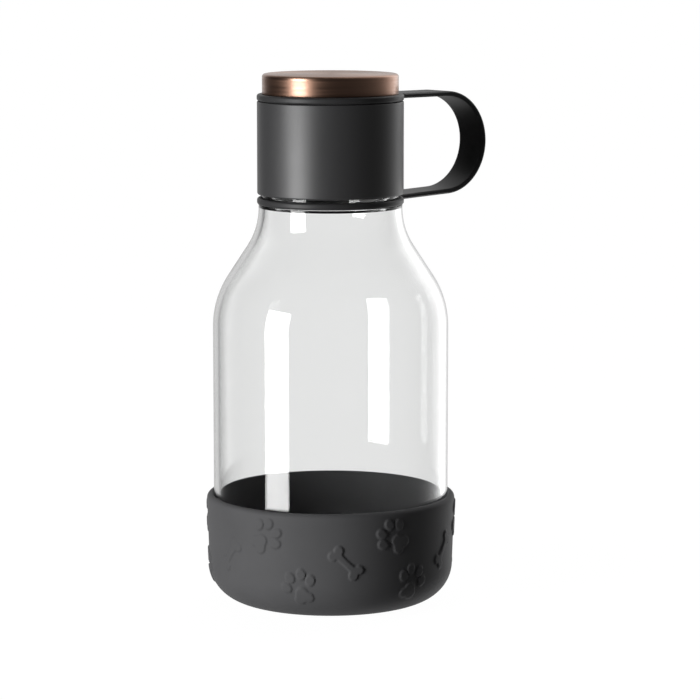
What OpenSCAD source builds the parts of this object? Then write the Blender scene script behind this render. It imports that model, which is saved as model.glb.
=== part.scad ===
// Dog travel water bottle: a clear bottle that stands in a push-on drinking bowl,
// with a tall screw collar, a screw lid and a soft carry strap held by two rings.
// Z = 0 is the bowl's foot on the table, the bottle's axis is Z, and the strap lies along +X.

/* [Bottle] */
// Outside radius of the clear body
bottle_r = 55.2; // [50:0.2:62]
// Wall of the clear body
bottle_wall = 2.8; // [2:0.1:4]
// Thickness of the clear floor at its standing ring
bottle_floor = 3.2; // [2.4:0.1:5]
// Rounding where the body turns into its floor
base_round = 14; // [10:0.5:18]
// Height of the push-up in the middle of the floor
push_up = 3; // [1:0.25:5]
// Height of the ledge under the neck, above the bottle's own foot
ledge_h = 183.2; // [170:0.2:210]
// How far the ledge, where the shoulder ends, lies inside the strap's ring
ledge_inset = 0.7; // [0.3:0.1:1.2]
// Slope of the shoulder, from upright
shoulder_slope = 33.2; // [30:0.5:40]
// Radius of the shoulder's outward curve
shoulder_convex_r = 43; // [30:1:48]
// Radius of the shoulder's inward curve
shoulder_concave_r = 32.7; // [22:0.5:36]
// Radius of the smooth neck that shows under the collar
neck_r = 32; // [28:0.2:36]
// Wall of the neck
neck_wall = 2.7; // [2:0.1:3.2]
// Height of the lip above the ledge
neck_h = 43.4; // [38:0.2:50]
// Radial depth of the screw threads
thread_depth = 1.4; // [1:0.1:1.6]

/* [Bowl] */
// Height of the bowl
bowl_h = 50.6; // [40:0.2:70]
// Wall of the bowl at its rim
bowl_wall = 3; // [2.4:0.1:5]
// Thickness of the bowl's floor
bowl_floor = 4; // [3:0.25:6]
// How much the bowl's outside draws in from its rim to its corner
bowl_taper = 1; // [0:0.1:1.6]
// Rounding of the bowl's outer corner
bowl_corner = 17.5; // [14:0.5:20]
// Rounding of the rim's outer edge
rim_round = 2.2; // [1:0.1:2.2]
// Gap between the bowl and the bottle pushed into it
bowl_fit = 0.3; // [0.2:0.05:0.6]

/* [Relief] */
// How far the paw prints and bones stand out of the bowl
relief_h = 0.6; // [0.3:0.1:1]
// Height of the upper paw prints, at their main pads
high_paw_z = 36; // [34:0.5:38]
// Height of the lower paw prints, at their main pads
low_paw_z = 13.7; // [13:0.5:18]
// Height of the bones
bone_z = 28; // [24:0.5:32]
// Radius of a toe
toe_r = 2.6; // [1.6:0.1:3]
// Radius of the three rounds of a main pad
pad_r = 2.9; // [2:0.1:3.2]
// Length of a bone between the lobes at its two ends
bone_length = 15; // [10:0.5:18]
// Width of a bone's shaft
shaft_w = 3.4; // [2:0.1:4]
// Radius of a bone's lobe
lobe_r = 2.4; // [1.8:0.1:2.8]
// Turn from one group of motifs to the next
group_turn = 112.5; // [100:0.5:120]
// Number of groups of motifs round the bowl
group_count = 3; // [1:1:3]

/* [Collar] */
// Wall of the collar's outer sleeve
sleeve_wall = 1.6; // [1.2:0.1:2.4]
// Wall of the collar's threaded skirt
liner_wall = 1.65; // [1.2:0.05:2.4]
// Gap between the strap's lower ring and the collar
collar_gap = 1.4; // [0.8:0.1:2.4]
// Thickness of the collar liner's top plate
plate_t = 3; // [2:0.1:5]
// Thickness of the gasket on the bottle's lip
neck_gasket_t = 1.6; // [1:0.1:2.4]
// Wall of the spout
spout_wall = 2.3; // [1.8:0.1:2.8]

/* [Lid] */
// How far the lid is set in from the collar
lid_inset = 2.4; // [1.6:0.1:4]
// How far the lid reaches out over the strap's upper ring
lid_overhang = 1.8; // [1.2:0.1:2.4]
// Height of the lid
lid_h = 9.2; // [8.4:0.1:16]
// Thickness of the lid's metal shell
shell_t = 0.7; // [0.4:0.05:1]
// Rounding of the shell's top edge
lid_round = 1.4; // [1:0.1:2.4]
// Thickness of the top of the lid's liner
lid_liner_top = 1.3; // [1:0.1:2]
// Wall of the lid's liner
lid_liner_wall = 1.6; // [1.2:0.1:1.8]
// Thickness of the gasket on the spout's lip
lid_gasket_t = 1.2; // [0.8:0.1:2]

/* [Strap] */
// How far the strap's two rings stand out past the collar
ring_proud = 0.1; // [0:0.05:1.5]
// Height of each ring
ring_h = 3.2; // [2.4:0.1:5]
// Width of the strap
strap_w = 17.4; // [12:0.2:24]
// Thickness of the strap
strap_t = 2.4; // [1.8:0.1:2.8]
// How far the loop's round end stops short of the lower ring's level
loop_tuck = 1.2; // [0.4:0.1:4]
// Distance from the rings to the middle of the loop's round end
loop_throw = 30.7; // [26:0.1:40]
// Radius of the fillets where the strap leaves a ring
strap_fillet = 3; // [2:0.25:6]

/* [Hidden] */
$fn = 96;
arc_steps = 8;        // points along a small round
long_arc_steps = 14;  // points along a shoulder curve
bond = 0.05;          // glue line between two pieces of one assembly
running_gap = 0.3;    // gap between pieces that turn or slide past each other
ring_play = 0.15;     // gap above and below the strap's upper ring
edge = 0.5;           // rounding of small edges
neck_clearance = 0.6; // gap between the smooth neck and the sleeve that covers it

relief_root = 1.2;    // how deep the relief is rooted in the bowl's wall
first_group_a = -179.2; // where the first group of motifs starts, from the strap

// A group of motifs: each one's kind, its turn from the group's start, its height and its lean
GROUP = [["bone", 0, bone_z, -40], ["paw", 16.4, high_paw_z, -45], ["paw", 37.5, low_paw_z, 20],
         ["bone", 57.3, bone_z, 45], ["paw", 83, high_paw_z, 47], ["paw", 89.5, low_paw_z, -19]];

// Heights, from the table up
bottle_foot = bowl_floor;
ledge_z = bottle_foot + ledge_h;
neck_bead_z = ledge_z + ring_h + collar_gap + 0.8;
lip_z = ledge_z + neck_h;
collar_foot = ledge_z + ring_h + collar_gap;
plate_z = lip_z + neck_gasket_t;
collar_top = plate_z + plate_t;
lid_foot = collar_top + ring_h + 2 * ring_play;
lid_top = lid_foot + lid_h;
lid_liner_roof = lid_top - shell_t - bond - lid_liner_top;
spout_lip_z = lid_liner_roof - lid_gasket_t;

// Radii of pieces that fit one another
bowl_in_r = bottle_r + bowl_fit;
bowl_out_r = bowl_in_r + bowl_wall;
sleeve_in_r = neck_r + neck_clearance;
collar_r = sleeve_in_r + sleeve_wall;
liner_out_r = sleeve_in_r - bond;
liner_in_r = liner_out_r - liner_wall;
finish_r = liner_in_r - running_gap - thread_depth;
mouth_r = finish_r - neck_wall;
ring_r = collar_r + ring_proud;
ledge_r = ring_r - ledge_inset;
lid_r = collar_r - lid_inset;
boss_r = lid_r - lid_overhang;
lid_liner_out_r = lid_r - shell_t - bond;
lid_liner_in_r = lid_liner_out_r - lid_liner_wall;
spout_r = lid_liner_in_r - running_gap - thread_depth;
spout_in_r = spout_r - spout_wall;

// Shoulder: an inward arc, a straight slope and an outward arc, each tangent to the next
shoulder_arcs_r = (shoulder_convex_r + shoulder_concave_r) * (1 - cos(shoulder_slope));
slope_length = (bottle_r - ledge_r - shoulder_arcs_r) / sin(shoulder_slope);
ledge_round = 1.1;
concave_z = ledge_z - ledge_round - 0.5;
convex_z = concave_z - (shoulder_convex_r + shoulder_concave_r) * sin(shoulder_slope)
           - slope_length * cos(shoulder_slope);

// Strap loop: a level upper arm, a round end and a lower arm that runs tangent to it from its ring
ring_low_z = ledge_z + ring_h / 2;
ring_high_z = collar_top + ring_play + ring_h / 2;
arm_high_z = ring_high_z - (ring_h - strap_t) * 0.45;
loop_r = (arm_high_z - ring_low_z - loop_tuck) / 2;
loop_x = ring_r + loop_throw;
loop_z = arm_high_z - loop_r;
low_reach = norm([loop_throw, loop_z - ring_low_z]);
low_arm = sqrt(pow(low_reach, 2) - pow(loop_r, 2));
loop_low_a = atan2(ring_low_z - loop_z, -loop_throw) + acos(loop_r / low_reach);

// Points along a circle of radius r round (cx, cy), from angle a0 to angle a1
function arc(cx, cy, r, a0, a1, n = arc_steps) =
    [for (i = [0:n]) [cx + r * cos(a0 + (a1 - a0) * i / n), cy + r * sin(a0 + (a1 - a0) * i / n)]];

// Outline of a tube's wall from r0 to r1 and z0 to z1, with the outer edges rounded
function tube_outline(r0, r1, z0, z1, round_low, round_high) = concat(
    [[r0, z0]],
    arc(r1 - round_low, z0 + round_low, round_low, -90, 0),
    arc(r1 - round_high, z1 - round_high, round_high, 0, 90),
    [[r0, z1]]);

// Outline of a paw print: a main pad of three rounds, and four toes fanned above it
module paw_outline() {
    pad_x = pad_r * 0.75;
    pad_y = pad_r * 0.6;
    translate([0, pad_y]) circle(pad_r);
    for (side = [-1, 1]) {
        translate([side * pad_x, -pad_y]) circle(pad_r);
        translate([side * toe_r * 1.15, pad_r + toe_r * 3]) circle(toe_r);
        translate([side * toe_r * 2.45, pad_r + toe_r * 1.35]) circle(toe_r);
    }
    polygon([[-pad_r, pad_y], [pad_r, pad_y], [pad_x + pad_r * 0.9, -pad_y + pad_r * 0.4],
             [pad_x, -pad_y - pad_r * 0.95], [-pad_x, -pad_y - pad_r * 0.95],
             [-pad_x - pad_r * 0.9, -pad_y + pad_r * 0.4]]);
}

// Outline of a bone: a shaft with two lobes at each end
module bone_outline() {
    square([shaft_w, bone_length], center = true);
    for (x = [-1, 1], y = [-1, 1])
        translate([x * lobe_r * 0.85, y * bone_length / 2]) circle(lobe_r);
}

// Raised motifs: outlines pushed out of the wall and trimmed to a skin that follows the bowl
module relief() {
    corner_r = bowl_out_r - bowl_taper - bowl_corner;
    skin_end = -70;
    intersection() {
        rotate_extrude() polygon(concat(
            arc(corner_r, bowl_corner, bowl_corner + relief_h, skin_end, 0),
            [[bowl_out_r + relief_h, bowl_h - rim_round], [bowl_out_r - relief_root, bowl_h - rim_round]],
            arc(corner_r, bowl_corner, bowl_corner - relief_root, 0, skin_end)));
        for (group = [0:group_count - 1], motif = GROUP)
            rotate([0, 0, first_group_a + group * group_turn + motif[1]])
                translate([bowl_out_r / 2, 0, motif[2]]) rotate([90, 0, 90])
                    linear_extrude(bowl_out_r) rotate([0, 0, motif[3]])
                        if (motif[0] == "paw") paw_outline(); else bone_outline();
    }
}

// Drinking bowl: a thick soft cup that the bottle is pushed into, with raised paw prints and bones
module bowl() {
    corner_r = bowl_out_r - bowl_taper - bowl_corner;
    inner_corner = base_round + bowl_fit;
    color([0.2, 0.2, 0.21]) union() {
        rotate_extrude() polygon(concat(
            [[0, 0]],
            arc(corner_r, bowl_corner, bowl_corner, -90, 0, long_arc_steps),
            arc(bowl_out_r - rim_round, bowl_h - rim_round, rim_round, 0, 90),
            arc(bowl_in_r + edge, bowl_h - edge, edge, 90, 180),
            arc(bowl_in_r - inner_corner, bowl_floor + inner_corner, inner_corner, 0, -90,
                long_arc_steps),
            [[0, bowl_floor]]));
        relief();
    }
}

// Clear bottle: blow-moulded body with a two-curve shoulder, a ledge and a tall neck
module bottle() {
    foot_r = bottle_r - base_round;
    stand_w = 3;
    inner_round = base_round - bottle_wall;
    inner_r = bottle_r - bottle_wall;
    floor_z = bottle_foot + bottle_floor;
    neck_cone = ledge_r - bottle_wall - mouth_r;
    color([0.86, 0.9, 0.92, 0.35]) rotate_extrude() polygon(concat(
        [[0, bottle_foot + push_up], [foot_r / 2, bottle_foot + push_up], [foot_r - stand_w, bottle_foot]],
        arc(foot_r, bottle_foot + base_round, base_round, -90, 0, long_arc_steps),
        arc(bottle_r - shoulder_convex_r, convex_z, shoulder_convex_r, 0, shoulder_slope, long_arc_steps),
        arc(ledge_r + shoulder_concave_r, concave_z, shoulder_concave_r, 180 + shoulder_slope, 180,
            long_arc_steps),
        arc(ledge_r - ledge_round, ledge_z - ledge_round, ledge_round, 0, 90),
        [[neck_r, ledge_z], [neck_r, neck_bead_z], [finish_r, neck_bead_z + 0.6]],
        arc(finish_r - edge, lip_z - edge, edge, 0, 90),
        arc(mouth_r + edge, lip_z - edge, edge, 90, 180),
        [[mouth_r, concave_z + neck_cone]],
        arc(ledge_r + shoulder_concave_r, concave_z, shoulder_concave_r + bottle_wall, 180,
            180 + shoulder_slope, long_arc_steps),
        arc(bottle_r - shoulder_convex_r, convex_z, shoulder_convex_r - bottle_wall, shoulder_slope, 0,
            long_arc_steps),
        arc(foot_r, floor_z + inner_round, inner_round, 0, -90, long_arc_steps),
        [[foot_r - stand_w, floor_z], [foot_r / 2, floor_z + push_up], [0, floor_z + push_up]]));
}

// Section of the strap, rounded at its corners: its thickness along X and its width along Y
module strap_section() {
    corner = strap_t * 0.4;
    x = strap_t / 2 - corner;
    y = strap_w / 2 - corner;
    polygon(concat(
        arc(x, y, corner, 0, 90, 4),
        arc(-x, y, corner, 90, 180, 4),
        arc(-x, -y, corner, 180, 270, 4),
        arc(x, -y, corner, 270, 360, 4)));
}

// One ring of the strap round the bottle's axis, with the straight arm that leaves it
module strap_ring(z, bore_r, arm_z, reach, slope) {
    bead = ring_h * 0.35;
    fillet_y = strap_w / 2 + strap_fillet;
    fillet_x = sqrt(pow(ring_r + strap_fillet, 2) - pow(fillet_y, 2));
    difference() {
        union() {
            translate([0, 0, z - ring_h / 2])
                rotate_extrude() polygon(tube_outline(bore_r, ring_r, 0, ring_h, bead, bead));
            translate([ring_r, 0, arm_z]) rotate([0, 90 - slope, 0]) translate([0, 0, -ring_r / 2])
                linear_extrude(ring_r / 2 + reach + bond) strap_section();
            for (side = [-1, 1])
                translate([0, 0, arm_z - strap_t * 0.45]) linear_extrude(strap_t * 0.9) difference() {
                    polygon([[fillet_x - 2 * strap_fillet, 0], [fillet_x, 0],
                             [fillet_x, side * fillet_y], [fillet_x * ring_r / (ring_r + strap_fillet),
                             side * fillet_y * ring_r / (ring_r + strap_fillet)]]);
                    translate([fillet_x, side * fillet_y]) circle(strap_fillet);
                }
        }
        translate([0, 0, z - ring_h]) cylinder(r = bore_r, h = 2 * ring_h);
    }
}

// Carry strap: one soft moulding of two rings and a hand loop
module carry_strap() {
    color([0.09, 0.09, 0.1]) union() {
        strap_ring(ring_low_z, neck_r + running_gap, ring_low_z, low_arm, loop_low_a + 90);
        strap_ring(ring_high_z, boss_r + running_gap, arm_high_z, loop_throw, 0);
        translate([loop_x, 0, loop_z]) rotate([90, 0, 0]) rotate([0, 0, loop_low_a])
            rotate_extrude(angle = 90 - loop_low_a) translate([loop_r, 0]) strap_section();
    }
}

// Outer sleeve of the collar: the plain tube that a hand grips
module collar_sleeve() {
    color([0.17, 0.17, 0.18]) rotate_extrude()
        polygon(tube_outline(sleeve_in_r, collar_r, collar_foot, collar_top, 1, edge));
}

// Liner of the collar: the threaded skirt, the top plate, the strap's boss and the spout
module collar_liner() {
    skirt_foot = neck_bead_z + 1;
    boss_z = lid_foot - running_gap;
    color([0.12, 0.12, 0.13]) rotate_extrude() polygon(concat(
        [[liner_in_r, skirt_foot], [liner_out_r, skirt_foot], [liner_out_r, collar_top]],
        [[boss_r, collar_top], [boss_r, boss_z], [spout_r, boss_z]],
        arc(spout_r - edge, spout_lip_z - edge, edge, 0, 90),
        arc(spout_in_r + edge, spout_lip_z - edge, edge, 90, 180),
        [[spout_in_r, plate_z], [liner_in_r, plate_z]]));
}

// Flat gasket between the bottle's lip and the collar's top plate
module neck_gasket() {
    color([0.75, 0.75, 0.74])
        rotate_extrude() translate([mouth_r, lip_z]) square([finish_r - mouth_r, neck_gasket_t]);
}

// Metal shell of the lid: a drawn cup with a rounded top edge
module lid_shell() {
    color([0.72, 0.45, 0.33]) rotate_extrude() polygon(concat(
        [[lid_r - shell_t, lid_foot], [lid_r, lid_foot]],
        arc(lid_r - lid_round, lid_top - lid_round, lid_round, 0, 90),
        [[0, lid_top], [0, lid_top - shell_t]],
        arc(lid_r - lid_round, lid_top - lid_round, lid_round - shell_t, 90, 0)));
}

// Threaded liner inside the lid's shell
module lid_liner() {
    liner_foot = lid_foot + edge;
    liner_top = lid_liner_roof + lid_liner_top;
    corner = lid_round - shell_t;
    color([0.12, 0.12, 0.13]) rotate_extrude() polygon(concat(
        [[lid_liner_in_r, liner_foot], [lid_liner_out_r, liner_foot]],
        arc(lid_liner_out_r - corner, liner_top - corner, corner, 0, 90),
        [[0, liner_top], [0, lid_liner_roof], [lid_liner_in_r, lid_liner_roof]]));
}

// Flat gasket between the spout's lip and the lid's liner
module lid_gasket() {
    color([0.75, 0.75, 0.74])
        rotate_extrude() translate([spout_in_r, spout_lip_z]) square([spout_r - spout_in_r, lid_gasket_t]);
}

bowl();
bottle();
carry_strap();
collar_sleeve();
collar_liner();
neck_gasket();
lid_shell();
lid_liner();
lid_gasket();
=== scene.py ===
"""Dog travel water bottle: builds the dressed bottle round its CAD frame, with its materials and studio."""

import math

import bmesh
import bpy
import numpy as np
from bpy.props import FloatProperty, FloatVectorProperty, IntProperty, PointerProperty
from mathutils import Matrix, Vector


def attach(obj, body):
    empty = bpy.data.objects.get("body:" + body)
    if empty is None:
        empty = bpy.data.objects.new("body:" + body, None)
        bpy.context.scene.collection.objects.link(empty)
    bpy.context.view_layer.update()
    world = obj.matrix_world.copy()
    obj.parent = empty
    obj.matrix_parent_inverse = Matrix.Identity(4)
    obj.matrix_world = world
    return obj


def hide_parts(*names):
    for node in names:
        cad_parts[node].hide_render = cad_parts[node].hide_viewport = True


bl_info = {
    "name": "Dog Travel Water Bottle",
    "version": (1, 0, 0),
    "blender": (4, 5, 0),
    "location": "View3D > Sidebar > Dog Bottle",
    "description": "Makes a clear water bottle that stands in a soft drinking bowl, with a carry strap",
    "category": "Add Mesh",
}

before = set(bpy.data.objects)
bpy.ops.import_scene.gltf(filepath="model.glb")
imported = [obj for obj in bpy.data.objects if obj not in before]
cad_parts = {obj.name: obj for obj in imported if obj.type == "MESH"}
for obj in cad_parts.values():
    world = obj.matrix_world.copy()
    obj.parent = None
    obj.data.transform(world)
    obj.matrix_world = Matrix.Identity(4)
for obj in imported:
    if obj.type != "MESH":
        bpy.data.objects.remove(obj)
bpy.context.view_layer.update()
MM = 0.001
WHITE = (1.0, 1.0, 1.0)

# One group of raised motifs on the bowl: kind, turn from the group's start in degrees, height up the
# wall in mm and lean in degrees, anticlockwise where it is more than 0
MOTIFS = [("bone", 0, 28, -40), ("paw", 18.9, 36, -45), ("paw", 40, 12.4, 20),
          ("bone", 59.8, 28, 45), ("paw", 85.5, 36, 47), ("paw", 92, 12.4, -19)]
# An upright paw print in mm from its main pad's middle: the pad's three rounds as (x, y, half width,
# half height), how softly they join, the toes' middles and half sizes, and a toe's lean in degrees for
# each mm that it stands to the right
PAD_ROUNDS = [(0.0, 1.7, 3.1, 2.9), (-2.3, -1.7, 2.7, 2.8), (2.3, -1.7, 2.7, 2.8)]
PAD_JOIN = 1.2
TOES = [(-6.4, 6.4), (-3.0, 10.7), (3.0, 10.7), (6.4, 6.4)]
TOE_HALF_WIDTH, TOE_HALF_HEIGHT, TOE_LEAN = 2.35, 2.9, -4.0
# An upright bone in mm from its middle: the shaft, how fast it widens from its waist, the lobes at its
# ends and how softly they join it
SHAFT_HALF_WIDTH, SHAFT_HALF_LENGTH, SHAFT_FLARE = 1.6, 7.5, 0.012
LOBE_R, LOBE_ASIDE, LOBE_JOIN = 2.45, 2.1, 0.8


# ---- Sizes and colours that a user would change ---------------------------

def length(name, description, millimetres):
    """A size property in metres, given in millimetres."""
    return FloatProperty(name=name, description=description, default=millimetres * MM, min=0.0,
                         precision=5, unit="LENGTH")


def angle(name, description, degrees):
    """An angle property in radians, given in degrees."""
    return FloatProperty(name=name, description=description, default=math.radians(degrees), subtype="ANGLE")


def factor(name, description, value, least=0.0):
    """A plain number property."""
    return FloatProperty(name=name, description=description, default=value, min=least)


def count(name, description, value, least, most=4000):
    """A whole number property."""
    return IntProperty(name=name, description=description, default=value, min=least, max=most)


def colour(name, description, rgb):
    """A colour property in linear light."""
    return FloatVectorProperty(name=name, description=description, default=rgb, size=3, min=0.0,
                               max=1.0, subtype="COLOR")


class BottleSizes(bpy.types.PropertyGroup):
    """The clear bottle and its neck."""
    body_r: length("Body radius", "Outside radius of the clear body", 55.2)
    wall: length("Wall", "Wall of the clear body", 2.8)
    foot_z: length("Foot", "Height of the bottle's foot above the table", 4.0)
    floor: length("Floor", "Thickness of the clear floor", 3.2)
    base_round: length("Base rounding", "Rounding where the body turns into its floor", 14.0)
    push_up: length("Push-up", "Height of the push-up in the middle of the floor", 3.0)
    ledge_r: length("Ledge radius", "Radius of the ledge under the neck", 33.6)
    ledge_z: length("Ledge height", "Height of the ledge under the neck", 187.2)
    ledge_round: length("Ledge rounding", "Rounding of the ledge's edge", 0.45)
    cove_drop: length("Cove drop", "How far below the ledge the shoulder turns upright", 1.6)
    neck_r: length("Neck radius", "Radius of the smooth neck under the collar", 32.0)
    finish_r: length("Thread root", "Radius of the neck between its threads", 29.2)
    mouth_r: length("Mouth radius", "Inside radius of the neck", 26.5)
    bead_z: length("Smooth neck top", "Height where the smooth neck ends", 192.6)
    lip_z: length("Lip height", "Height of the bottle's lip", 230.6)
    lip_round: length("Lip rounding", "Rounding of the lip's two edges", 0.5)
    throat_z: length("Throat", "Height where the neck's bore starts to widen into the shoulder", 192.2)
    throat_rise: length("Throat rise", "How far above the cove the throat meets the shoulder", 2.4)
    throat_in: length("Throat inset", "How far inside the wall the throat meets the shoulder", 2.2)
    shoulder_convex_r: length("Outward curve", "Radius of the shoulder's outward curve", 43.0)
    shoulder_concave_r: length("Inward curve", "Radius of the shoulder's inward curve", 32.7)
    shoulder_slope: angle("Shoulder slope", "Slope of the shoulder from upright", 33.2)
    thread_lead: length("Collar thread lead", "Rise of the collar in one turn", 8.0)
    thread_h: length("Thread height", "Height of the thread ridges", 1.05)
    thread_half: length("Thread half width", "Half width of a thread ridge", 1.0)
    thread_start: length("Thread start", "Height of the thread's start above the smooth neck", 2.4)
    thread_end: length("Thread end", "Depth of the thread's end below the lip", 2.0)
    around: count("Points around", "Points round a clear or threaded piece", 288, 24)


class BowlSizes(bpy.types.PropertyGroup):
    """The drinking bowl and its raised motifs."""
    height: length("Height", "Height of the bowl", 50.6)
    outer_r: length("Outer radius", "Outside radius of the bowl's rim", 58.5)
    inner_r: length("Inner radius", "Inside radius of the bowl", 55.5)
    taper: length("Taper", "How much the outside draws in from rim to corner", 1.0)
    corner_r: length("Corner", "Rounding of the outer corner", 17.5)
    inner_corner_r: length("Inner corner", "Rounding of the inner corner", 14.3)
    rim_r: length("Rim rounding", "Rounding of the rim's outer edge", 2.2)
    inner_rim_r: length("Inner rim rounding", "Rounding of the rim's inner edge", 0.5)
    floor: length("Floor", "Thickness of the bowl's floor", 4.0)
    relief_h: length("Relief", "How far the paw prints and bones stand out", 0.57)
    relief_edge: length("Relief edge", "Width of the slope at a motif's edge", 0.40)
    paw_scale: factor("Paw print scale", "Size of the paw prints", 0.92, 0.1)
    bone_scale: factor("Bone scale", "Size of the bones", 0.88, 0.1)
    first_group: angle("First group", "Where the first group of motifs starts", -181.7)
    group_turn: angle("Group turn", "Turn from one group of motifs to the next", 117.0)
    groups: count("Groups", "Number of groups of motifs", 3, 1, 3)
    around: count("Points around", "Points round the bowl", 840, 96)


class TopSizes(bpy.types.PropertyGroup):
    """The collar, the spout and the lid."""
    collar_r: length("Collar radius", "Outside radius of the collar", 34.2)
    sleeve_in_r: length("Sleeve bore", "Inside radius of the collar's sleeve", 32.6)
    collar_foot: length("Collar foot", "Height of the collar's foot", 191.8)
    collar_top: length("Collar top", "Height of the collar's top", 235.2)
    foot_round: length("Foot rounding", "Rounding of the collar's lower edge", 1.0)
    top_round: length("Top rounding", "Rounding of the collar's upper edge", 0.5)
    skirt_out_r: length("Skirt radius", "Outside radius of the liner's skirt", 32.55)
    skirt_in_r: length("Skirt bore", "Radius between the skirt's threads", 30.9)
    skirt_foot: length("Skirt foot", "Height of the skirt's foot", 193.6)
    plate_z: length("Plate", "Height of the underside of the liner's top plate", 232.2)
    boss_r: length("Boss radius", "Radius of the boss that the strap turns on", 30.0)
    boss_top: length("Boss top", "Height of the boss", 238.4)
    spout_r: length("Spout radius", "Radius of the spout between its threads", 27.75)
    spout_in_r: length("Spout bore", "Inside radius of the spout", 25.45)
    spout_lip: length("Spout lip", "Height of the spout's lip", 244.65)
    spout_round: length("Spout rounding", "Rounding of the spout's two edges", 0.5)
    spout_plain: length("Plain spout", "Plain height below and above the spout's thread", 0.6)
    lid_r: length("Lid radius", "Outside radius of the lid", 31.8)
    lid_foot: length("Lid foot", "Height of the lid's foot", 238.7)
    lid_top: length("Lid top", "Height of the lid's top", 247.9)
    lid_round: length("Lid rounding", "Rounding of the lid's top edge", 1.4)
    shell_t: length("Shell", "Thickness of the metal shell", 0.7)
    lid_liner_r: length("Lid liner radius", "Outside radius of the lid's liner", 31.05)
    lid_liner_in_r: length("Lid liner bore", "Radius between the lid liner's threads", 29.45)
    lid_roof: length("Lid roof", "Height of the underside of the lid liner's top", 245.85)
    lid_lead: length("Lid thread lead", "Rise of the lid in one turn", 5.0)
    lid_thread_h: length("Lid thread height", "Height of the lid's thread ridges", 0.85)
    lid_thread_half: length("Lid thread half width", "Half width of the lid's thread ridges", 0.6)
    around: count("Points around", "Points round the collar's sleeve and the lid's shell", 256, 24)


class Finishes(bpy.types.PropertyGroup):
    """Colours of the materials."""
    bowl: colour("Bowl", "Colour of the bowl's silicone", (0.095, 0.095, 0.098))
    strap: colour("Strap", "Colour of the strap's silicone", (0.036, 0.036, 0.037))
    collar: colour("Collar", "Colour of the collar's plastic", (0.043, 0.043, 0.0445))
    liner: colour("Liners", "Colour of the threaded liners", (0.012, 0.012, 0.0125))
    copper: colour("Copper", "Colour of the lid's metal", (0.44, 0.262, 0.188))
    gasket: colour("Gaskets", "Colour of the gaskets' silicone", (0.62, 0.62, 0.60))
    clear: colour("Clear plastic", "Tint of the clear bottle", (0.945, 0.948, 0.946))


class StudioSizes(bpy.types.PropertyGroup):
    """The camera and the lights."""
    turn: angle("Camera turn", "Turn of the camera round the bottle, from straight ahead", -39.15)
    tilt: angle("Camera tilt", "How far the camera looks down", 8.08)
    distance: length("Camera distance", "Distance from the bottle's axis to the camera", 1434.28)
    aside: length("Camera aside", "How far the camera stands to the right", 9.12)
    camera_z: length("Camera height", "Height of the camera", 321.82)
    focal_pixels: factor("Focal length in pixels", "Focal length in pixels of the picture", 3080.0)
    picture_pixels: factor("Picture width", "Width of the picture in pixels", 700.0)
    room_strength: factor("Room strength", "Brightness of the room as light", 1.0)
    sheet_white: factor("Sheet", "Brightness of the white sheet to the eye", 1.02)
    floor_white: factor("Floor", "Brightness of the floor's glow to the eye", 0.985)
    floor_shadow: factor("Floor shadow", "How much the floor takes light, and so shows shadows", 0.05)
    softbox_turn: angle("Softbox turn", "Turn of the softbox from the camera, to the left", 53.2)
    softbox_distance: length("Softbox distance", "Distance of the softbox from the bottle's axis", 1200.0)
    softbox_width: length("Softbox width", "Width of the softbox", 520.0)
    softbox_height: length("Softbox height", "Height of the softbox", 1080.0)
    softbox_z: length("Softbox middle", "Height of the softbox's middle", 90.0)
    softbox_strength: factor("Softbox strength", "Brightness of the softbox, where white paper has 1", 10.0)


# ---- Profiles: points (r, z) in metres ------------------------------------

def arc(cx, cz, r, start, end, steps):
    """Points on a circle: (cx + r cos a, cz + r sin a) for a from start to end, in degrees."""
    a = np.radians(np.linspace(start, end, steps + 1))
    return np.column_stack([cx + r * np.cos(a), cz + r * np.sin(a)])


def line(start, end, step):
    """Points from start to end, both included, no further apart than step: start + t (end - start)."""
    start, end = np.array(start, float), np.array(end, float)
    steps = max(1, int(math.ceil(np.linalg.norm(end - start) / step)))
    t = np.linspace(0.0, 1.0, steps + 1)[:, None]
    return start + t * (end - start)


def joined(*parts):
    """One profile from several, with points that repeat left out."""
    same = 1e-7
    points = np.vstack([np.atleast_2d(np.array(p, float)) for p in parts])
    keep = np.ones(len(points), bool)
    keep[1:] = np.linalg.norm(np.diff(points, axis=0), axis=1) > same
    if np.linalg.norm(points[0] - points[-1]) < same:
        keep[-1] = False
    return points[keep]


def part_of(profile, r, low, high):
    """Indices of the profile points at one radius between two heights, a micron's slack included."""
    slack = 1e-6
    heights = profile[:, 1]
    upright = np.abs(profile[:, 0] - r) <= slack
    return np.nonzero(upright & (heights >= low - slack) & (heights <= high + slack))[0]


def smooth_step(t):
    """3 t^2 - 2 t^3 for t held between 0 and 1."""
    t = np.clip(t, 0.0, 1.0)
    return t * t * (3.0 - 2.0 * t)


# ---- Meshes from grids ----------------------------------------------------

def mesh_object(name, points, quads, triangles, smooth_angle=35.0):
    """A mesh object at the origin from arrays of points, quads and triangles. It is smooth but for edges
    that turn by more than smooth_angle, in degrees."""
    mesh = bpy.data.meshes.new(name)
    mesh.vertices.add(len(points))
    mesh.vertices.foreach_set("co", np.asarray(points, np.float32).ravel())
    loops = np.concatenate([quads.ravel(), triangles.ravel()]).astype(np.int32)
    sizes = np.concatenate([np.full(len(quads), 4), np.full(len(triangles), 3)])
    mesh.loops.add(len(loops))
    mesh.loops.foreach_set("vertex_index", loops)
    mesh.polygons.add(len(sizes))
    mesh.polygons.foreach_set("loop_start", (np.cumsum(sizes) - sizes).astype(np.int32))
    mesh.update(calc_edges=True)
    mesh.validate()
    mesh.shade_smooth()
    mesh.set_sharp_from_angle(angle=math.radians(smooth_angle))
    piece = bpy.data.objects.new(name, mesh)
    bpy.context.scene.collection.objects.link(piece)
    return piece


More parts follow.
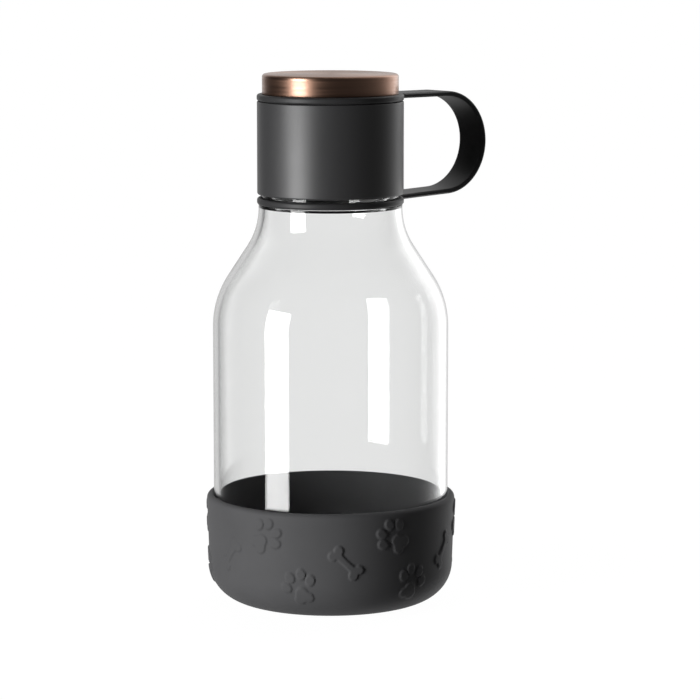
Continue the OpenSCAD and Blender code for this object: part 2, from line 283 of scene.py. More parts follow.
def turned_piece(name, profile, around, swell=None, smooth_angle=35.0):
    """A turned piece: at turn u and profile point (r, z) it is at ((r + d) cos u, (r + d) sin u, z), where
    d = swell(u, r, z) stands out of the profile. The profile runs anticlockwise round the material, with
    the axis at its left, so that faces point outwards. One with both ends on the axis closes in two
    poles, and any other closes on itself."""
    on_axis = 1e-9
    profile = np.asarray(profile, float)
    poles = profile[0, 0] < on_axis and profile[-1, 0] < on_axis
    body = profile[1:-1] if poles else profile
    u = np.linspace(0.0, 2.0 * math.pi, around, endpoint=False)
    turn, r = np.meshgrid(u, body[:, 0], indexing="ij")
    z = np.broadcast_to(body[:, 1], r.shape)
    if swell is not None:
        r = r + swell(turn, r, z)
    points = np.stack([r * np.cos(turn), r * np.sin(turn), z], axis=-1).reshape(-1, 3)
    rows = len(body)
    i = np.arange(around)[:, None]
    j = np.arange(rows - 1 if poles else rows)[None, :]
    after, above = (i + 1) % around, (j + 1) % rows
    quads = np.stack([i * rows + j, after * rows + j, after * rows + above, i * rows + above], axis=-1)
    triangles = np.zeros((0, 3), int)
    if poles:
        first, last = len(points), len(points) + 1
        ends = np.array([[0.0, 0.0, profile[0, 1]], [0.0, 0.0, profile[-1, 1]]])
        points = np.vstack([points, ends])
        k = np.arange(around)
        following = (k + 1) % around
        triangles = np.vstack([
            np.column_stack([np.full(around, first), following * rows, k * rows]),
            np.column_stack([np.full(around, last), k * rows + rows - 1, following * rows + rows - 1])])
    return mesh_object(name, points, quads.reshape(-1, 4), triangles, smooth_angle)


# ---- Screw threads --------------------------------------------------------

def thread_swell(lead, height, half_width, low, high, part, offset=0.0):
    """Swell of a right-handed thread on the profile points in part: a ridge of the given height and half
    width along z = low + lead (u / 2 pi + k + offset) for whole k. It fades out above low and below high,
    over about a third of the lead."""
    flank, fading = 0.45 * half_width, 0.35 * lead

    def swell(turn, r, z):
        phase = (z - low) / lead - turn / (2.0 * math.pi) - offset
        away = np.abs(phase - np.round(phase)) * lead
        ridge = smooth_step((half_width + flank - away) / (2.0 * flank))
        fade = smooth_step((z - low) / fading) * smooth_step((high - z) / fading)
        chosen = np.zeros(turn.shape[1])
        chosen[part] = 1.0
        return height * ridge * fade * chosen
    return swell


def between_ridges(low, other_low, lead):
    """Offset that lays a thread that starts at low halfway between the ridges of one that starts at
    other_low: 1/2 - (low - other_low) / lead."""
    return 0.5 - (low - other_low) / lead


def neck_thread(b):
    """Heights where the neck's thread starts and ends."""
    return b.bead_z + b.thread_start, b.lip_z - b.thread_end


def spout_thread(t):
    """Heights where the spout's thread starts and ends."""
    return t.boss_top + t.spout_plain, t.spout_lip - t.spout_plain


# ---- Materials ------------------------------------------------------------

# Numbers of a Mix node's sockets in its colour mode
MIX_FACTOR, MIX_FIRST, MIX_SECOND, MIX_RESULT = 0, 6, 7, 2


class Nodes:
    """A small helper that adds nodes to a tree and links them."""

    def __init__(self, tree):
        self.tree = tree

    def feed(self, node, socket, value):
        """Sets an input socket, by name or number, to a value, or links another socket to it. A colour
        is given without its alpha, which is 1."""
        target = node.inputs[socket]
        if isinstance(value, bpy.types.NodeSocket):
            self.tree.links.new(value, target)
        elif target.type == "RGBA":
            target.default_value = (*value, 1.0)
        else:
            target.default_value = value

    def add(self, kind, *values, settings=None, **inputs):
        """Adds a node with its own settings. Its input sockets are fed by number from values and by name
        from inputs."""
        node = self.tree.nodes.new(kind)
        for key, value in (settings or {}).items():
            setattr(node, key, value)
        for number, value in enumerate(values):
            self.feed(node, number, value)
        for key, value in inputs.items():
            self.feed(node, key.replace("_", " "), value)
        return node

    def maths(self, operation, *values):
        """The result of a Math node."""
        return self.add("ShaderNodeMath", *values, settings={"operation": operation}).outputs["Value"]

    def vector_maths(self, operation, *values):
        """The number that a Vector Math node gives, such as a length."""
        node = self.add("ShaderNodeVectorMath", *values, settings={"operation": operation})
        return node.outputs["Value"]

    def stretched(self, vector, x, y, z):
        """Coordinates times (x, y, z)."""
        return self.add("ShaderNodeMapping", Vector=vector, Scale=(x, y, z)).outputs["Vector"]

    def noise(self, vector, scale, detail=2.0, roughness=0.5):
        """A noise pattern's value on the given coordinates."""
        node = self.add("ShaderNodeTexNoise", Vector=vector, Scale=scale, Detail=detail,
                        Roughness=roughness)
        return node.outputs["Fac"]

    def between(self, value, low, high, to_low, to_high):
        """A value carried over from one range to another, held at its ends."""
        node = self.add("ShaderNodeMapRange", Value=value, From_Min=low, From_Max=high, To_Min=to_low,
                        To_Max=to_high)
        return node.outputs["Result"]

    def ramp(self, value, stops):
        """The colour at a value on a ramp of stops, each (position, colour), in order."""
        node = self.add("ShaderNodeValToRGB", Fac=value)
        elements = node.color_ramp.elements
        for position, _ in stops[1:-1]:
            elements.new(position)
        for element, (position, rgb) in zip(elements, stops):
            element.position = position
            element.color = (*rgb, 1.0)
        return node.outputs["Color"]

    def mixed(self, share, first, second):
        """A colour between two others: the first at 0 and the second at 1."""
        node = self.add("ShaderNodeMix", settings={"data_type": "RGBA"})
        self.feed(node, MIX_FACTOR, share)
        self.feed(node, MIX_FIRST, first)
        self.feed(node, MIX_SECOND, second)
        return node.outputs[MIX_RESULT]

    def mixed_shaders(self, share, first, second):
        """A shader between two others: the first at 0 and the second at 1."""
        return self.add("ShaderNodeMixShader", share, first, second).outputs["Shader"]

    def bump(self, height, distance, strength):
        """A bump's normal: distance is the real height of the pattern in metres."""
        node = self.add("ShaderNodeBump", Height=height, Distance=distance, Strength=strength)
        return node.outputs["Normal"]

    def seen_straight(self):
        """A socket that is 1 for a ray that comes from the eye, directly or straight through clear
        plastic, and 0 for one that lights something or has been reflected: the greater of camera and
        transmission (glossy depth < 1/2) (diffuse depth < 1/2)."""
        path = self.add("ShaderNodeLightPath").outputs
        through = path["Is Transmission Ray"]
        for depth in ("Glossy Depth", "Diffuse Depth"):
            through = self.maths("MULTIPLY", through, self.maths("LESS_THAN", path[depth], 0.5))
        return self.maths("MAXIMUM", path["Is Camera Ray"], through)


class MaterialNodes(Nodes):
    """The nodes of a new material, with its shader, its output and the piece's own coordinates at hand."""

    def __init__(self, name):
        self.material = bpy.data.materials.new(name)
        self.material.use_nodes = True
        super().__init__(self.material.node_tree)
        self.shader = self.tree.nodes["Principled BSDF"]
        self.output = self.tree.nodes["Material Output"]

    def place(self):
        """Object coordinates."""
        return self.add("ShaderNodeTexCoord").outputs["Object"]

    def set(self, **inputs):
        """Sets or links the shader's own sockets."""
        for key, value in inputs.items():
            self.feed(self.shader, key.replace("_", " "), value)


def shade(rgb, level):
    """A colour made lighter or darker."""
    return tuple(min(1.0, c * level) for c in rgb)


def soft_silicone(name, rgb, roughness, ior, grain, lint):
    """Matt silicone: a fine moulded grain, broad patches of slightly different gloss and a little lint."""
    n = MaterialNodes(name)
    where = n.place()
    fine = n.noise(where, scale=2600.0, detail=3.0, roughness=0.6)
    broad = n.noise(where, scale=38.0, detail=3.0, roughness=0.55)
    spread = 0.035
    n.set(Base_Color=n.mixed(n.between(broad, 0.3, 0.7, 0.0, 1.0), shade(rgb, 1.0 - lint),
                             shade(rgb, 1.0 + lint)),
          Roughness=n.between(broad, 0.3, 0.7, roughness - spread, roughness + spread),
          Normal=n.bump(fine, distance=grain, strength=0.35), IOR=ior)
    return n.material


def moulded_plastic(name, rgb, roughness, ior, grain):
    """Matt moulded plastic: a very fine eroded texture and faint handling marks in its gloss."""
    n = MaterialNodes(name)
    where = n.place()
    fine = n.noise(where, scale=3400.0, detail=2.0, roughness=0.6)
    marks = n.noise(n.stretched(where, 1.0, 1.0, 0.4), scale=60.0, detail=4.0, roughness=0.6)
    spread = 0.03
    n.set(Base_Color=n.mixed(fine, shade(rgb, 0.9), shade(rgb, 1.1)),
          Roughness=n.between(marks, 0.3, 0.7, roughness - spread, roughness + spread),
          Normal=n.bump(fine, distance=grain, strength=0.3), IOR=ior)
    return n.material


def brushed_copper(name, rgb):
    """Copper-coloured metal brushed round its axis: streaks in colour, gloss and bump that are long in x
    and y and fine in sqrt(x^2 + y^2) + z, so that they run round the side and the top alike. The gloss
    spreads across the streaks, and a thin clear lacquer whitens the highlights."""
    n = MaterialNodes(name)
    parts = n.add("ShaderNodeSeparateXYZ", Vector=n.place()).outputs
    flat = n.add("ShaderNodeCombineXYZ", X=parts["X"], Y=parts["Y"]).outputs["Vector"]
    across = n.maths("ADD", n.vector_maths("LENGTH", flat), parts["Z"])
    laid = n.add("ShaderNodeCombineXYZ", X=parts["X"], Y=parts["Y"], Z=across).outputs["Vector"]
    fine = n.noise(n.stretched(laid, 30.0, 30.0, 5200.0), scale=1.0, detail=3.0, roughness=0.65)
    coarse = n.noise(n.stretched(laid, 14.0, 14.0, 1150.0), scale=1.0, detail=3.0, roughness=0.6)
    tangent = n.add("ShaderNodeTangent", settings={"direction_type": "RADIAL", "axis": "Z"})
    n.set(Base_Color=n.mixed(coarse, shade(rgb, 0.84), shade(rgb, 1.18)), Metallic=1.0,
          Roughness=n.between(coarse, 0.35, 0.65, 0.36, 0.53),
          Normal=n.bump(fine, distance=0.02 * MM, strength=0.30),
          Tangent=tangent.outputs["Tangent"], Anisotropic=0.75, Anisotropic_Rotation=0.25,
          Coat_Weight=0.35, Coat_Roughness=0.15)
    return n.material


# Painted shade on the clear wall: its colour's tone against how far it turns away from the eye, 0 face-on,
# 1 edge-on, with a painted dark line near 0.66 in place of the dark lines that refraction shows there
PAINTED_EDGE_SHADE_RAMP = [(0.0, 1.0), (0.55, 0.99), (0.66, 0.95), (0.72, 0.97), (1.0, 0.97)]


def clear_plastic(name, rgb):
    """Clear glossy plastic: it bends light, has a fine dark line of painted shade in its colour where the
    wall's inside turns away from the eye, and lets light straight through to what it covers."""
    n = MaterialNodes(name)
    facing = n.add("ShaderNodeLayerWeight", Blend=0.5).outputs["Facing"]
    # Base colour: painted shade, a darker line and edge where the wall turns edge-on
    n.set(Base_Color=n.ramp(facing, [(position, shade(rgb, level)) for position, level in PAINTED_EDGE_SHADE_RAMP]),
          Roughness=0.0, IOR=1.5, Transmission_Weight=1.0)
    path = n.add("ShaderNodeLightPath").outputs
    lighting = n.maths("MAXIMUM", path["Is Shadow Ray"], path["Is Diffuse Ray"])
    through = n.add("ShaderNodeBsdfTransparent", Color=shade(WHITE, 0.96)).outputs["BSDF"]
    n.feed(n.output, "Surface", n.mixed_shaders(lighting, n.shader.outputs["BSDF"], through))
    return n.material


def seal_silicone(name, rgb):
    """Milky silicone of the gaskets: soft, slightly see-through and faintly mottled."""
    n = MaterialNodes(name)
    where = n.place()
    mottle = n.noise(where, scale=300.0, detail=3.0, roughness=0.5)
    n.set(Base_Color=n.mixed(mottle, shade(rgb, 0.94), shade(rgb, 1.04)),
          Roughness=n.between(mottle, 0.3, 0.7, 0.42, 0.52),
          Normal=n.bump(n.noise(where, scale=2000.0), distance=0.02 * MM, strength=0.3),
          Subsurface_Weight=0.2, Subsurface_Scale=2.0 * MM)
    return n.material


# Each finish, by the name of its colour: the material's name, its maker and its other settings
FINISHES = {
    "bowl": ("matt_bowl_silicone", soft_silicone,
             {"roughness": 0.50, "ior": 1.12, "grain": 0.03 * MM, "lint": 0.05}),
    "strap": ("matt_strap_silicone", soft_silicone,
              {"roughness": 0.44, "ior": 1.36, "grain": 0.02 * MM, "lint": 0.08}),
    "collar": ("matt_collar_plastic", moulded_plastic,
               {"roughness": 0.43, "ior": 1.62, "grain": 0.01 * MM}),
    "liner": ("moulded_liner_plastic", moulded_plastic,
              {"roughness": 0.36, "ior": 1.5, "grain": 0.01 * MM}),
    "copper": ("brushed_copper", brushed_copper, {}),
    "gasket": ("milky_seal_silicone", seal_silicone, {}),
    "clear": ("glossy_clear_plastic", clear_plastic, {}),
}


def dress(piece, key, body, node):
    """Gives a piece its finish in a slot, sets it on the body that it rides on and hides the CAD node that
    it stands for. A material is made once and then shared."""
    name, maker, settings = FINISHES[key]
    rgb = getattr(bpy.context.scene.dogbottle_finishes, key)
    piece.data.materials.clear()
    piece.data.materials.append(bpy.data.materials.get(name) or maker(name, rgb, **settings))
    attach(piece, body)
    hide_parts(node)


# ---- Raised motifs on the bowl --------------------------------------------

def soft_least(a, b, blend):
    """The lesser of two distances, rounded over where they are about equal: min(a, b) - h^2 blend / 4
    with h = max(blend - |a - b|, 0) / blend."""
    h = np.maximum(blend - np.abs(a - b), 0.0) / blend
    return np.minimum(a, b) - h * h * blend / 4.0


def oval(x, y, cx, cy, half_wide, half_high, lean=0.0):
    """Rough distance to an oval turned by lean, in degrees: (|p| - 1) times its smaller half size, where p
    is the point in the oval's own units."""
    c, s = math.cos(math.radians(lean)), math.sin(math.radians(lean))
    px = ((x - cx) * c + (y - cy) * s) / half_wide
    py = (-(x - cx) * s + (y - cy) * c) / half_high
    return (np.hypot(px, py) - 1.0) * min(half_wide, half_high)


def paw_distance(x, y):
    """Distance in mm to an upright paw print: four oval toes, and a main pad of three rounds joined."""
    pad, *rounds = [oval(x, y, *pad_round) for pad_round in PAD_ROUNDS]
    for each in rounds:
        pad = soft_least(pad, each, PAD_JOIN)
    toes = [oval(x, y, cx, cy, TOE_HALF_WIDTH, TOE_HALF_HEIGHT, TOE_LEAN * cx) for cx, cy in TOES]
    return np.minimum(pad, np.minimum.reduce(toes))


def bone_distance(x, y):
    """Distance in mm to an upright bone: a shaft whose half width is SHAFT_HALF_WIDTH + SHAFT_FLARE y^2,
    with two round lobes at each end."""
    shaft = np.maximum(np.abs(x) - (SHAFT_HALF_WIDTH + SHAFT_FLARE * y * y), np.abs(y) - SHAFT_HALF_LENGTH)
    lobes = [np.hypot(x - cx, y - cy) - LOBE_R
             for cx in (-LOBE_ASIDE, LOBE_ASIDE) for cy in (-SHAFT_HALF_LENGTH, SHAFT_HALF_LENGTH)]
    return soft_least(shaft, np.minimum.reduce(lobes), LOBE_JOIN)


def relief_swell(sizes, part):
    """Swell of the raised motifs on the bowl's outside: relief_h times a soft step of the distance to the
    nearest motif, in mm, with x = r sin(u - a) round the bowl and y the height above its middle. Below
    the corner's radius c the height follows the wall round the corner: c (1 - asin((c - z) / c))."""
    outlines = {"paw": (paw_distance, sizes.paw_scale), "bone": (bone_distance, sizes.bone_scale)}
    reach, far = math.radians(20.0), 9.0

    def swell(turn, r, z):
        corner = sizes.corner_r / MM
        u, radius, height = turn[:, part], r[:, part] / MM, z[:, part] / MM
        bend = np.arcsin(np.clip((corner - height) / corner, 0.0, 1.0))
        height = np.where(height < corner, corner * (1.0 - bend), height)
        nearest = np.full(u.shape, far)
        for group in range(sizes.groups):
            for kind, turned, middle, lean in MOTIFS:
                a = sizes.first_group + group * sizes.group_turn + math.radians(turned)
                beside = np.angle(np.exp(1j * (u - a)))
                near = np.abs(beside) < reach
                x, y = radius[near] * np.sin(beside[near]), height[near] - middle
                c, s = math.cos(math.radians(lean)), math.sin(math.radians(lean))
                outline, scale = outlines[kind]
                distance = outline((x * c + y * s) / scale, (y * c - x * s) / scale) * scale
                nearest[near] = np.minimum(nearest[near], distance)
        raised = np.zeros(turn.shape)
        raised[:, part] = sizes.relief_h * smooth_step(0.5 - nearest / (sizes.relief_edge / MM))
        return raised
    return swell


# ---- Operators: one for each piece or group of like pieces ----------------

class DOGBOTTLE_OT_bowl(bpy.types.Operator):
    """Make the soft drinking bowl with its raised paw prints and bones"""
    bl_idname = "dogbottle.bowl"
    bl_label = "Drinking Bowl"

    def execute(self, context):
        s = context.scene.dogbottle_bowl
        foot_r = s.outer_r - s.taper - s.corner_r
        wall_foot, wall_top = (foot_r + s.corner_r, s.corner_r), (s.outer_r, s.height - s.rim_r)
        # How far round the corner the motifs may reach, in degrees, and the rows of points in them
        lowest, row = -70, 0.55 * MM
        outside = joined(arc(foot_r, s.corner_r, s.corner_r, lowest, 0, 36), line(wall_foot, wall_top, row))
        profile = joined(
            [(0.0, 0.0), (foot_r / 2, 0.0)],
            arc(foot_r, s.corner_r, s.corner_r, -90, lowest, 4),
            outside,
            arc(s.outer_r - s.rim_r, s.height - s.rim_r, s.rim_r, 0, 90, 6),
            arc(s.inner_r + s.inner_rim_r, s.height - s.inner_rim_r, s.inner_rim_r, 90, 180, 3),
            arc(s.inner_r - s.inner_corner_r, s.floor + s.inner_corner_r, s.inner_corner_r, 0, -90, 8),
            [(foot_r / 2, s.floor), (0.0, s.floor)])
        start = int(np.argmin(np.linalg.norm(profile[1:-1] - outside[0], axis=1)))
        part = np.arange(start, start + len(outside))
        piece = turned_piece("bowl_moulding", profile, s.around, relief_swell(s, part), smooth_angle=50.0)
        dress(piece, "bowl", "drinking_bowl", "bowl")
        return {"FINISHED"}


class DOGBOTTLE_OT_bottle(bpy.types.Operator):
    """Make the clear bottle: body, two-curve shoulder, ledge and threaded neck"""
    bl_idname = "dogbottle.bottle"
    bl_label = "Clear Bottle"

    def execute(self, context):
        s = context.scene.dogbottle_bottle
        # The standing ring's width, the height of the slope between the smooth neck and the thread's
        # root, and the rows of points in the thread
        stand, bevel, row = 3.0 * MM, 0.6 * MM, 0.4 * MM
        foot_r, inner_round = s.body_r - s.base_round, s.base_round - s.wall
        stand_r, floor_z = foot_r - stand, s.foot_z + s.floor
        low, high = neck_thread(s)
        # The shoulder's two curves, with radii R and r, draw it in by (R + r)(1 - cos a), and the straight
        # flank between them is as long as the rest asks for
        a, curves = s.shoulder_slope, s.shoulder_convex_r + s.shoulder_concave_r
        flank = (s.body_r - s.ledge_r - curves * (1.0 - math.cos(a))) / math.sin(a)
        cove_x, cove_z = s.ledge_r + s.shoulder_concave_r, s.ledge_z - s.cove_drop
        crown_x = s.body_r - s.shoulder_convex_r
        crown_z = cove_z - curves * math.sin(a) - flank * math.cos(a)
        slope = math.degrees(a)
        profile = joined(
            [(0.0, s.foot_z + s.push_up), (foot_r / 2, s.foot_z + s.push_up), (stand_r, s.foot_z)],
            arc(foot_r, s.foot_z + s.base_round, s.base_round, -90, 0, 20),
            arc(crown_x, crown_z, s.shoulder_convex_r, 0, slope, 24),
            arc(cove_x, cove_z, s.shoulder_concave_r, 180 + slope, 180, 24),
            arc(s.ledge_r - s.ledge_round, s.ledge_z - s.ledge_round, s.ledge_round, 0, 90, 6),
            [(s.neck_r, s.ledge_z), (s.neck_r, s.bead_z), (s.finish_r, s.bead_z + bevel)],
            line((s.finish_r, low), (s.finish_r, high), row),
            arc(s.finish_r - s.lip_round, s.lip_z - s.lip_round, s.lip_round, 0, 90, 4),
            arc(s.mouth_r + s.lip_round, s.lip_z - s.lip_round, s.lip_round, 90, 180, 4),
            [(s.mouth_r, s.throat_z), (s.ledge_r - s.wall - s.throat_in, cove_z + s.throat_rise)],
            arc(cove_x, cove_z, s.shoulder_concave_r + s.wall, 180, 180 + slope, 24),
            arc(crown_x, crown_z, s.shoulder_convex_r - s.wall, slope, 0, 24),
            arc(foot_r, floor_z + inner_round, inner_round, 0, -90, 16),
            [(stand_r, floor_z), (foot_r / 2, floor_z + s.push_up), (0.0, floor_z + s.push_up)])
        part = part_of(profile[1:-1], s.finish_r, low, high)
        swell = thread_swell(s.thread_lead, s.thread_h, s.thread_half, low, high, part)
        piece = turned_piece("clear_bottle", profile, s.around, swell, smooth_angle=40.0)
        dress(piece, "clear", "clear_bottle", "bottle")
        return {"FINISHED"}


class DOGBOTTLE_OT_strap(bpy.types.Operator):
    """Make the one-piece carry strap: two rings joined by a hand loop"""
    bl_idname = "dogbottle.strap"
    bl_label = "Carry Strap"

    def execute(self, context):
        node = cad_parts["carry_strap"]
        mesh = node.data.copy()
        mesh.name = "carry_strap_moulding"
        work = bmesh.new()
        work.from_mesh(mesh)
        bmesh.ops.remove_doubles(work, verts=work.verts, dist=1e-6)
        work.to_mesh(mesh)
        work.free()
        mesh.shade_smooth()
        mesh.set_sharp_from_angle(angle=math.radians(40.0))
        piece = bpy.data.objects.new("carry_strap_moulding", mesh)
        context.scene.collection.objects.link(piece)
        dress(piece, "strap", "strap", "carry_strap")
        return {"FINISHED"}


class DOGBOTTLE_OT_collar(bpy.types.Operator):
    """Make the collar: the plain outer sleeve, and the liner with its threads, plate, boss and spout"""
    bl_idname = "dogbottle.collar"
    bl_label = "Screw Collar"

    def execute(self, context):
        s, b = context.scene.dogbottle_top, context.scene.dogbottle_bottle
        profile = joined(
            [(s.sleeve_in_r, s.collar_foot)],
            arc(s.collar_r - s.foot_round, s.collar_foot + s.foot_round, s.foot_round, -90, 0, 8),
            arc(s.collar_r - s.top_round, s.collar_top - s.top_round, s.top_round, 0, 90, 6),
            [(s.sleeve_in_r, s.collar_top)])
        sleeve = turned_piece("collar_sleeve_tube", profile, s.around, smooth_angle=40.0)
        dress(sleeve, "collar", "collar", "collar_sleeve")

        # Plain heights at the foot and the top of the skirt's bore, and rows of points in both threads
        plain_foot, plain_top = 1.0 * MM, 2.0 * MM
        skirt_row, spout_row = 0.4 * MM, 0.25 * MM
        skirt_low, skirt_high = s.skirt_foot + plain_foot, s.plate_z - plain_top
        spout_low, spout_high = spout_thread(s)
        profile = joined(
            [(s.skirt_in_r, s.skirt_foot), (s.skirt_out_r, s.skirt_foot), (s.skirt_out_r, s.collar_top),
             (s.boss_r, s.collar_top), (s.boss_r, s.boss_top), (s.spout_r, s.boss_top)],
            line((s.spout_r, spout_low), (s.spout_r, spout_high), spout_row),
            arc(s.spout_r - s.spout_round, s.spout_lip - s.spout_round, s.spout_round, 0, 90, 4),
            arc(s.spout_in_r + s.spout_round, s.spout_lip - s.spout_round, s.spout_round, 90, 180, 4),
            [(s.spout_in_r, s.plate_z), (s.skirt_in_r, s.plate_z)],
            line((s.skirt_in_r, skirt_high), (s.skirt_in_r, skirt_low), skirt_row))
        skirt = thread_swell(b.thread_lead, -b.thread_h, b.thread_half, skirt_low, skirt_high,
                             part_of(profile, s.skirt_in_r, skirt_low, skirt_high),
                             between_ridges(skirt_low, neck_thread(b)[0], b.thread_lead))
        spout = thread_swell(s.lid_lead, s.lid_thread_h, s.lid_thread_half, spout_low, spout_high,
                             part_of(profile, s.spout_r, spout_low, spout_high))
        liner = turned_piece("collar_threaded_liner", profile, b.around,
                             lambda *grid: skirt(*grid) + spout(*grid), smooth_angle=40.0)
        dress(liner, "liner", "collar", "collar_liner")
        return {"FINISHED"}


class DOGBOTTLE_OT_gaskets(bpy.types.Operator):
    """Make the two flat gaskets, on the bottle's lip and on the spout's lip"""
    bl_idname = "dogbottle.gaskets"
    bl_label = "Gaskets"

    def execute(self, context):
        b, t = context.scene.dogbottle_bottle, context.scene.dogbottle_top
        edge, around = 0.25 * MM, 192
        for name, r0, r1, z0, z1, body, node in (
                ("neck_seal_ring", b.mouth_r, b.finish_r, b.lip_z, t.plate_z,
                 "collar_carrier", "neck_gasket"),
                ("lid_seal_ring", t.spout_in_r, t.spout_r, t.spout_lip, t.lid_roof,
                 "lid_carrier", "lid_gasket")):
            profile = joined(
                arc(r1 - edge, z0 + edge, edge, -90, 0, 3), arc(r1 - edge, z1 - edge, edge, 0, 90, 3),
                arc(r0 + edge, z1 - edge, edge, 90, 180, 3), arc(r0 + edge, z0 + edge, edge, 180, 270, 3))
            dress(turned_piece(name, profile, around), "gasket", body, node)
        return {"FINISHED"}


class DOGBOTTLE_OT_lid(bpy.types.Operator):
    """Make the lid: the brushed metal shell, and the threaded liner bonded into it"""
    bl_idname = "dogbottle.lid"
    bl_label = "Screw Lid"

    def execute(self, context):
        s, b = context.scene.dogbottle_top, context.scene.dogbottle_bottle
        centre_r, centre_z = s.lid_r - s.lid_round, s.lid_top - s.lid_round
        corner = s.lid_round - s.shell_t
        # The rounding of the shell's lower edge, and how far apart the rings of points on its top are
        hem, ring = 0.15 * MM, 4.0 * MM
        profile = joined(
            [(0.0, s.lid_top - s.shell_t)],
            arc(centre_r, centre_z, corner, 90, 0, 6),
            arc(s.lid_r - s.shell_t + hem, s.lid_foot + hem, hem, 180, 270, 2),
            arc(s.lid_r - hem, s.lid_foot + hem, hem, -90, 0, 2),
            arc(centre_r, centre_z, s.lid_round, 0, 90, 12),
            line((centre_r, s.lid_top), (0.0, s.lid_top), ring))
        shell = turned_piece("lid_metal_shell", profile, s.around, smooth_angle=40.0)
        dress(shell, "copper", "lid", "lid_shell")

        # How far the liner's foot is set in, the glue over its top, the plain heights at the foot and the
        # top of its bore, and the rows of points in its thread
        inset, glue = 0.5 * MM, 0.05 * MM
        plain_foot, plain_top, row = 0.4 * MM, 0.8 * MM, 0.25 * MM
        foot, top = s.lid_foot + inset, s.lid_top - s.shell_t - glue
        low, high = foot + plain_foot, s.lid_roof - plain_top
        profile = joined(
            [(0.0, s.lid_roof), (s.lid_liner_in_r, s.lid_roof)],
            line((s.lid_liner_in_r, high), (s.lid_liner_in_r, low), row),
            [(s.lid_liner_in_r, foot), (s.lid_liner_r, foot)],
            arc(s.lid_liner_r - corner, top - corner, corner, 0, 90, 5),
            [(0.0, top)])
        swell = thread_swell(s.lid_lead, -s.lid_thread_h, s.lid_thread_half, low, high,
                             part_of(profile[1:-1], s.lid_liner_in_r, low, high),
                             between_ridges(low, spout_thread(s)[0], s.lid_lead))
        liner = turned_piece("lid_threaded_liner", profile, b.around, swell, smooth_angle=40.0)
        dress(liner, "liner", "lid", "lid_liner")
        return {"FINISHED"}


# Brightness of the room as light against the turn from straight behind the bottle, in degrees to the right
ROOM_RAMP = [(-180, 0.045), (-75, 0.035), (-52, 0.06), (-40, 0.2), (-28, 0.68), (-10, 0.66), (5, 0.62),
             (18, 0.9), (27, 1.5), (34, 1.9), (41, 1.75), (47, 1.4), (53, 1.02), (62, 0.64), (72, 0.34),
             (84, 0.19), (100, 0.115), (120, 0.075), (150, 0.05), (180, 0.045)]


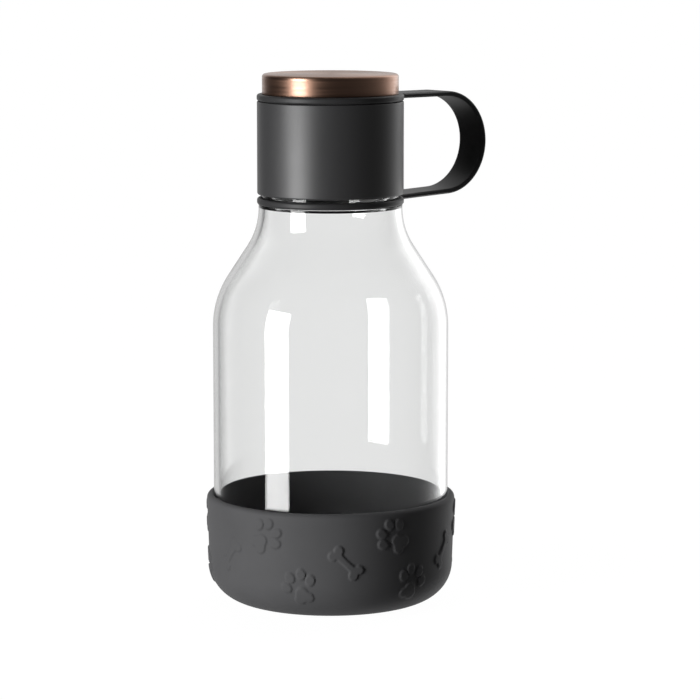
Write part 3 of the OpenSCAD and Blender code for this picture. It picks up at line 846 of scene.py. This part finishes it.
class DOGBOTTLE_OT_studio(bpy.types.Operator):
    """Set up the floor, the white surround, the softbox and the camera"""
    bl_idname = "dogbottle.studio"
    bl_label = "Studio"

    def execute(self, context):
        s = context.scene.dogbottle_studio
        context.scene.view_settings.view_transform = "Standard"
        context.scene.view_settings.look = "None"
        turn = Matrix.Rotation(s.turn, 4, "Z")
        ahead, right = turn @ Vector((0.0, 1.0, 0.0)), turn @ Vector((1.0, 0.0, 0.0))
        self.camera(context, s, turn)
        self.surround(context, s, ahead, right)
        self.softbox(context, s, ahead, right)
        self.floor(s)
        return {"FINISHED"}

    def camera(self, context, s, turn):
        """The camera stands in front of the bottle's axis by distance and looks down by tilt. Its lens in
        mm is focal_pixels / picture_pixels times the sensor's width."""
        data = bpy.data.cameras.new("studio_camera")
        data.sensor_width = 36.0
        data.lens = s.focal_pixels / s.picture_pixels * data.sensor_width
        data.clip_end = 100.0
        camera = bpy.data.objects.new("studio_camera", data)
        context.scene.collection.objects.link(camera)
        forward = Vector((0.0, math.cos(s.tilt), -math.sin(s.tilt)))
        look = forward.to_track_quat("-Z", "Y").to_matrix().to_4x4()
        camera.matrix_world = turn @ Matrix.Translation((s.aside, -s.distance, s.camera_z)) @ look
        context.scene.camera = camera

    def surround(self, context, s, ahead, right):
        """White to the eye and straight through the clear bottle. As light it is a dim room with a white
        sheet behind the bottle, brightest at the right: a ramp over the turn atan2(d . right, d . ahead)
        of the direction d."""
        world = bpy.data.worlds.new("white_sheet")
        world.use_nodes = True
        n = Nodes(world.node_tree)
        n.tree.nodes.clear()
        d = n.add("ShaderNodeTexCoord").outputs["Generated"]
        turn = n.maths("ARCTAN2", *(n.vector_maths("DOT_PRODUCT", d, axis) for axis in (right, ahead)))
        room = n.ramp(n.between(turn, -math.pi, math.pi, 0.0, 1.0),
                      [(0.5 + degrees / 360.0, (level, level, level)) for degrees, level in ROOM_RAMP])
        light = n.add("ShaderNodeBackground", Color=room, Strength=s.room_strength)
        sheet = n.add("ShaderNodeBackground", Color=WHITE, Strength=s.sheet_white)
        n.add("ShaderNodeOutputWorld",
              Surface=n.mixed_shaders(n.seen_straight(), light.outputs["Background"],
                                      sheet.outputs["Background"]))
        context.scene.world = world

    def softbox(self, context, s, ahead, right):
        """A tall softbox to the camera's left. Its radiance is P / (pi A), for its power P and area A."""
        data = bpy.data.lights.new("softbox", "AREA")
        data.shape = "RECTANGLE"
        data.size, data.size_y = s.softbox_width, s.softbox_height
        data.energy = s.softbox_strength * math.pi * s.softbox_width * s.softbox_height
        box = bpy.data.objects.new("softbox", data)
        context.scene.collection.objects.link(box)
        towards = -ahead * math.cos(s.softbox_turn) - right * math.sin(s.softbox_turn)
        place = towards * s.softbox_distance
        box.location = (place.x, place.y, s.softbox_z)
        box.rotation_euler = towards.to_track_quat("Z", "Y").to_euler()
        box.visible_camera = False

    def floor(self, s):
        """A wide white floor that glows as white as the surround and hardly shows a shadow. It lights
        nothing and is in no reflection: it is there for the eye alone, also through clear plastic."""
        half = 14.0
        corners = np.array([[-half, -half, 0.0], [half, -half, 0.0], [half, half, 0.0], [-half, half, 0.0]])
        floor = mesh_object("studio_floor", corners, np.array([[0, 1, 2, 3]]), np.zeros((0, 3), int))
        n = MaterialNodes("white_floor")
        glow = n.add("ShaderNodeEmission", Color=WHITE, Strength=s.floor_white).outputs["Emission"]
        paper = n.add("ShaderNodeBsdfDiffuse", Color=shade(WHITE, s.floor_shadow)).outputs["BSDF"]
        clear = n.add("ShaderNodeBsdfTransparent").outputs["BSDF"]
        both = n.add("ShaderNodeAddShader", glow, paper).outputs["Shader"]
        n.feed(n.output, "Surface", n.mixed_shaders(n.seen_straight(), clear, both))
        floor.data.materials.append(n.material)
        floor.visible_glossy = False
        floor.visible_diffuse = False
        floor.visible_shadow = False


class DOGBOTTLE_PT_panel(bpy.types.Panel):
    """Lists the pieces of the bottle and its studio"""
    bl_idname = "DOGBOTTLE_PT_panel"
    bl_label = "Dog Travel Bottle"
    bl_space_type = "VIEW_3D"
    bl_region_type = "UI"
    bl_category = "Dog Bottle"

    def draw(self, context):
        for operator in OPERATORS:
            self.layout.operator(operator.bl_idname)
        for name, group in PROPERTY_GROUPS.items():
            box = self.layout.box()
            box.label(text=group.__doc__)
            for key in group.__annotations__:
                box.prop(getattr(context.scene, name), key)


PROPERTY_GROUPS = {"dogbottle_bottle": BottleSizes, "dogbottle_bowl": BowlSizes, "dogbottle_top": TopSizes,
                   "dogbottle_finishes": Finishes, "dogbottle_studio": StudioSizes}
OPERATORS = [DOGBOTTLE_OT_bowl, DOGBOTTLE_OT_bottle, DOGBOTTLE_OT_strap, DOGBOTTLE_OT_collar,
             DOGBOTTLE_OT_gaskets, DOGBOTTLE_OT_lid, DOGBOTTLE_OT_studio]


def register():
    """Registers the property groups, the operators and the panel."""
    for name, group in PROPERTY_GROUPS.items():
        bpy.utils.register_class(group)
        setattr(bpy.types.Scene, name, PointerProperty(type=group))
    for operator in OPERATORS:
        bpy.utils.register_class(operator)
    bpy.utils.register_class(DOGBOTTLE_PT_panel)


def unregister():
    """Takes away what register added."""
    bpy.utils.unregister_class(DOGBOTTLE_PT_panel)
    for operator in reversed(OPERATORS):
        bpy.utils.unregister_class(operator)
    for name, group in reversed(list(PROPERTY_GROUPS.items())):
        delattr(bpy.types.Scene, name)
        bpy.utils.unregister_class(group)


def main():
    """Registers the add-on and makes every piece and the studio."""
    register()
    for make in (bpy.ops.dogbottle.bowl, bpy.ops.dogbottle.bottle, bpy.ops.dogbottle.strap,
                 bpy.ops.dogbottle.collar, bpy.ops.dogbottle.gaskets, bpy.ops.dogbottle.lid,
                 bpy.ops.dogbottle.studio):
        make()


if __name__ == "__main__":
    main()
